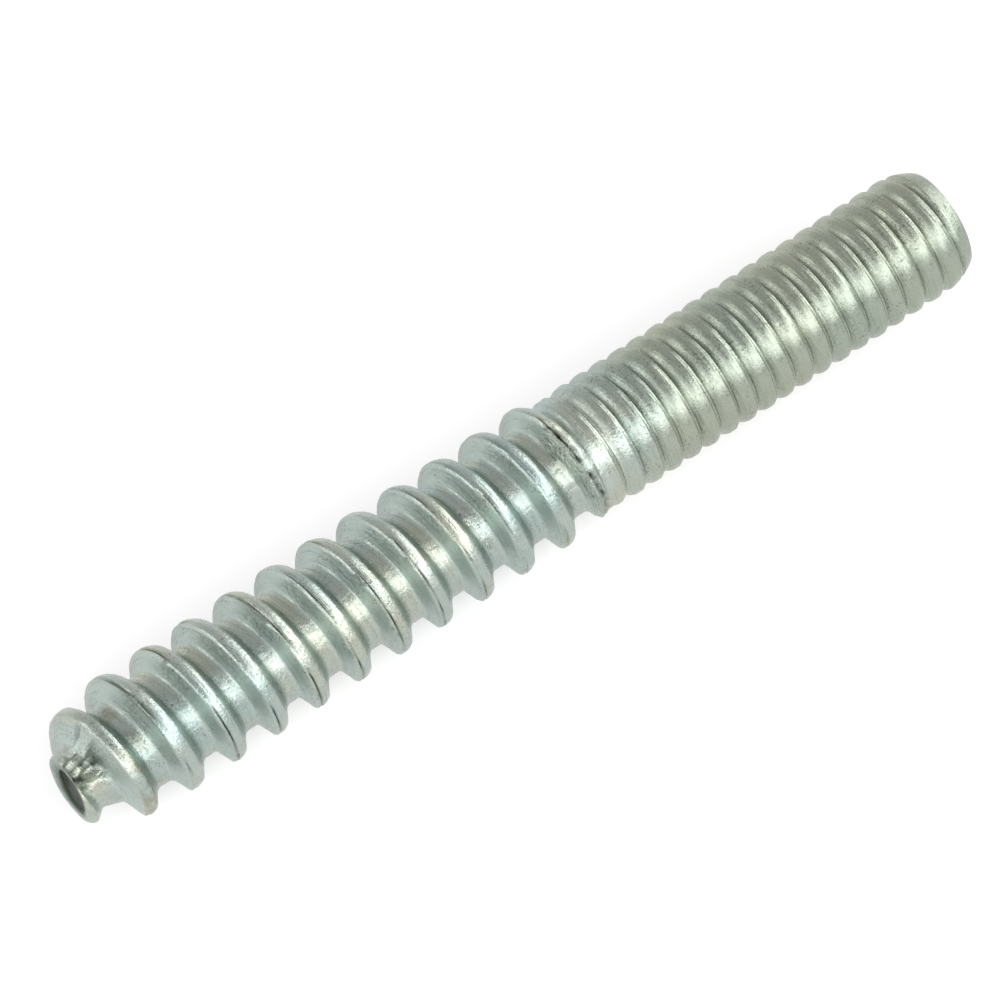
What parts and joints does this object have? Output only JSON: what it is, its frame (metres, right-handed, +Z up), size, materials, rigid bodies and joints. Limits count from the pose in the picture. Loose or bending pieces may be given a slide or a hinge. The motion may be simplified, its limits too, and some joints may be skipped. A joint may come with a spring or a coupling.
{
  "type": "hanger bolt",
  "caption": "Headless steel fastener lying on its side, with a coarse wood-screw thread and cut-off tip at one end, a machine thread at the other, and a low collar between.",
  "frame": {"origin": "on the ground under the middle of the bolt's length, with the bolt lying on its side", "axes": "+X along the bolt from the wood-thread tip to the machine end, +Z up"},
  "size_m": [0.065, 0.0087, 0.0087],
  "materials": {
    "zinc_plated_steel": "bright zinc plating, satin"
  },
  "bodies": {
    "root": {"hanger_bolt": "zinc_plated_steel"}
  },
  "joints": []
}
